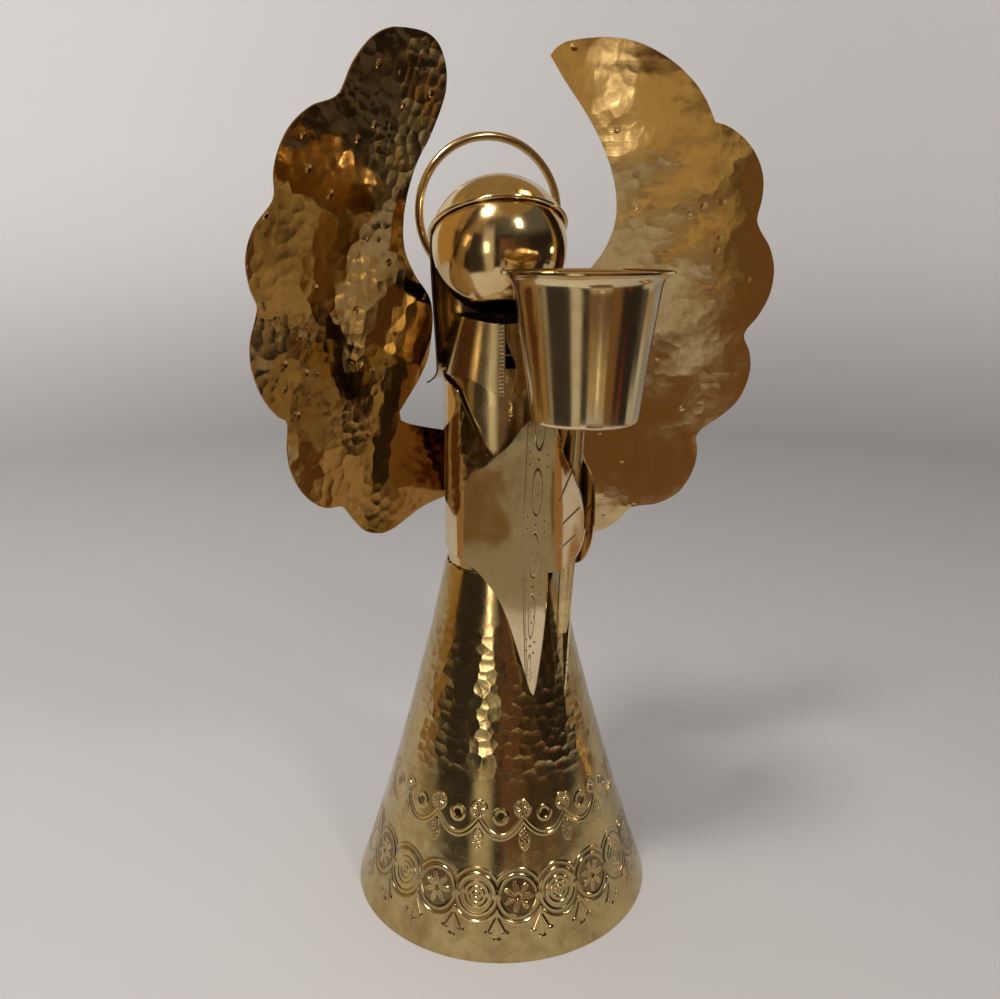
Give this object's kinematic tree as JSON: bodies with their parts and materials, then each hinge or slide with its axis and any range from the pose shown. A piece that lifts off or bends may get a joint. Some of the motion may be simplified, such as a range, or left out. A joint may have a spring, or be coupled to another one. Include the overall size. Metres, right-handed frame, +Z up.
{
  "type": "candle holder",
  "caption": "Sheet-brass angel figure with conical skirt, hooded ball head, wire halo and scalloped wings, holding a flared votive candle cup on a stem",
  "frame": {"origin": "middle of the underside of the whole object's box, on the plane the skirt stands on", "axes": "+Z up along the figure, the angel faces -Y, +X is the angel's left"},
  "size_m": [0.2354, 0.1676, 0.376],
  "materials": {
    "skirt_brass": "hammered and embossed, aged",
    "bodice_brass": "polished, lightly aged",
    "collar_brass": "polished, lightly aged",
    "robe_brass": "polished, lightly aged",
    "head_brass": "high polish",
    "hair_brass": "high polish",
    "halo_brass": "polished wire",
    "left_wing_brass": "hammered, aged and polished",
    "right_wing_brass": "hammered, aged and polished",
    "cup_brass": "high polish",
    "stem_brass": "brushed, lightly aged"
  },
  "bodies": {
    "root": {"skirt": "skirt_brass", "bodice": "bodice_brass", "collar": "collar_brass", "robe": "robe_brass", "head": "head_brass", "hair": "hair_brass", "halo": "halo_brass", "left_wing": "left_wing_brass", "right_wing": "right_wing_brass", "candle_cup": "cup_brass", "stem": "stem_brass"}
  },
  "joints": []
}
